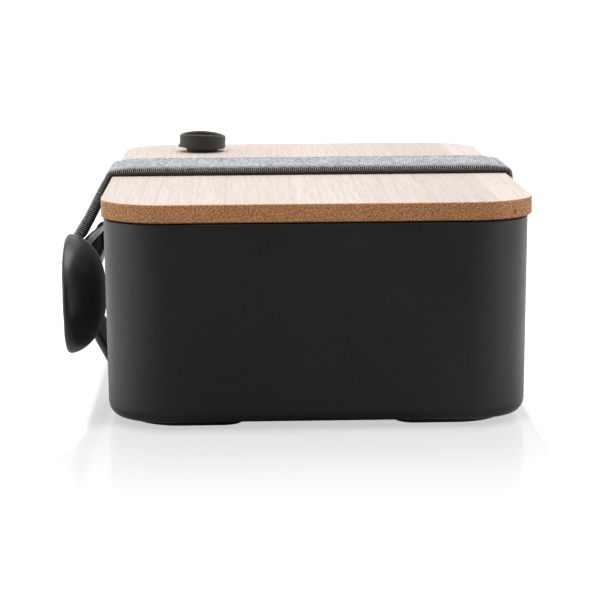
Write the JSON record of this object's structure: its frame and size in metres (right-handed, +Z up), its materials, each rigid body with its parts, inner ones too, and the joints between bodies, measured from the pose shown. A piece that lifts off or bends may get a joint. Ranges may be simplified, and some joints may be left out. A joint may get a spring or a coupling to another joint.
{
  "type": "bento lunch box",
  "caption": "Rectangular bento lunch box: moulded tub, bamboo plug lid with silicone seal and vent plug, elastic strap, side-carried spoon and a movable divider.",
  "frame": {"origin": "on the ground under the centre of the whole assembly's bounding box, which is 5.5 mm to the left of the tub's own centre because the spoon and the strap stand out on that side", "axes": "+Z up, -Y towards the front end, where the spoon's bowl is, +X towards the right long side"},
  "size_m": [0.1458, 0.18, 0.0722],
  "materials": {
    "tub_polypropylene": "fine matt moulded texture",
    "lid_bamboo": "fine-sanded laminated bamboo, grain along Y",
    "seal_silicone": "translucent grey silicone",
    "valve_seat_silicone": "matt silicone",
    "valve_silicone": "matt dark silicone",
    "strap_elastic": "woven heather-grey elastic",
    "strap_thread": "twisted sewing thread",
    "spoon_polypropylene": "satin black",
    "divider_polypropylene": "matt black"
  },
  "bodies": {
    "tub": {"tub": "tub_polypropylene", "strap": "strap_elastic", "strap_stitch_1": "strap_thread", "strap_stitch_2": "strap_thread"},
    "lid": {"lid_board": "lid_bamboo", "lid_seal": "seal_silicone", "valve_seat": "valve_seat_silicone"},
    "valve": {"valve_plug": "valve_silicone"},
    "spoon": {"spoon": "spoon_polypropylene"},
    "divider": {"divider": "divider_polypropylene"}
  },
  "joints": [
    {"name": "lid_lift", "type": "slide", "parent": "tub", "child": "lid", "axis": [0, 0, 1], "range_m": [0, 0.06], "deforming": ["strap"]},
    {"name": "valve_lift", "type": "slide", "parent": "lid", "child": "valve", "axis": [0, 0, 1], "range_m": [0, 0.003]},
    {"name": "spoon_slide", "type": "slide", "parent": "tub", "child": "spoon", "axis": [0, -1, 0], "range_m": [0, 0.1]},
    {"name": "divider_slide", "type": "slide", "parent": "tub", "child": "divider", "axis": [0, 1, 0], "range_m": [-0.086, 0.036]}
  ]
}
